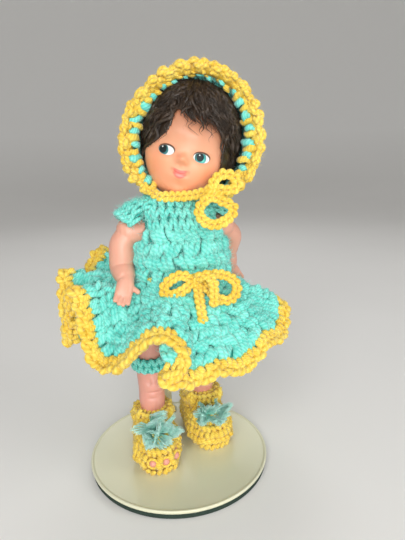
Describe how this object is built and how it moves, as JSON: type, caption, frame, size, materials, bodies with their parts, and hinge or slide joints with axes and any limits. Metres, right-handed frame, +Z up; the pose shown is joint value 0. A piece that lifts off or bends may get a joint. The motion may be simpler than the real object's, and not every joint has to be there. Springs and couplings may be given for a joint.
{
  "type": "dressed vinyl doll on a display stand",
  "caption": "Small vinyl play doll with turning head and swinging limbs, in a crochet dress, bonnet and booties, held upright on a round display stand.",
  "frame": {"origin": "centre of the stand's felt underside", "axes": "+Z up, the doll faces -Y, its left hand is towards +X"},
  "size_m": [0.0941, 0.09, 0.1633],
  "materials": {
    "felt": "pressed felt",
    "enamel": "cream satin enamel",
    "vinyl": "soft matt vinyl",
    "hair": "rooted fibre",
    "aqua_yarn": "crochet acrylic yarn",
    "yellow_yarn": "crochet acrylic yarn",
    "button": "gloss"
  },
  "bodies": {
    "stand": {"base_pad": "felt", "base_disc": "enamel", "stand_post": "enamel", "waist_cradle": "enamel"},
    "torso": {"torso": "vinyl", "bodice": "aqua_yarn", "back_button": "button", "skirt": "aqua_yarn", "skirt_edging": "yellow_yarn", "knickers": "aqua_yarn", "waist_tie": "yellow_yarn", "waist_bow_knot": "yellow_yarn", "waist_bow_right_loop": "yellow_yarn", "waist_bow_left_loop": "yellow_yarn", "waist_bow_long_tail": "yellow_yarn", "waist_bow_short_tail": "yellow_yarn"},
    "head": {"head": "vinyl", "hair": "hair", "bonnet": "aqua_yarn", "bonnet_edging": "yellow_yarn", "chin_tie_right": "yellow_yarn", "chin_tie_left": "yellow_yarn", "chin_bow_knot": "yellow_yarn", "chin_bow_upper_loop": "yellow_yarn", "chin_bow_lower_loop": "yellow_yarn"},
    "right_arm": {"right_arm": "vinyl"},
    "left_arm": {"left_arm": "vinyl"},
    "right_leg": {"right_leg": "vinyl", "right_knicker_leg": "aqua_yarn", "right_bootie": "yellow_yarn", "right_pompom": "aqua_yarn"},
    "left_leg": {"left_leg": "vinyl", "left_knicker_leg": "aqua_yarn", "left_bootie": "yellow_yarn", "left_pompom": "aqua_yarn"}
  },
  "joints": [
    {"name": "doll_lift", "type": "slide", "parent": "stand", "child": "torso", "axis": [0, 0, 1], "range_m": [0, 0.015]},
    {"name": "neck_turn", "type": "hinge", "parent": "torso", "child": "head", "pos_m": [0.00502, 0.01, 0.1083], "axis": [0.2058, -0.0669, 0.9763], "range_deg": [-40, 12]},
    {"name": "right_shoulder", "type": "hinge", "parent": "torso", "child": "right_arm", "pos_m": [-0.00886, 0.009, 0.0993], "axis": [-1, 0, 0], "range_deg": [0, 75]},
    {"name": "left_shoulder", "type": "hinge", "parent": "torso", "child": "left_arm", "pos_m": [0.01794, 0.009, 0.0993], "axis": [-1, 0, 0], "range_deg": [-38, 2]},
    {"name": "right_hip", "type": "hinge", "parent": "torso", "child": "right_leg", "pos_m": [-0.0035, 0.009, 0.0603], "axis": [-1, 0, 0], "range_deg": [0, 30]},
    {"name": "left_hip", "type": "hinge", "parent": "torso", "child": "left_leg", "pos_m": [0.0085, 0.009, 0.0603], "axis": [-1, 0, 0], "range_deg": [0, 30]}
  ]
}
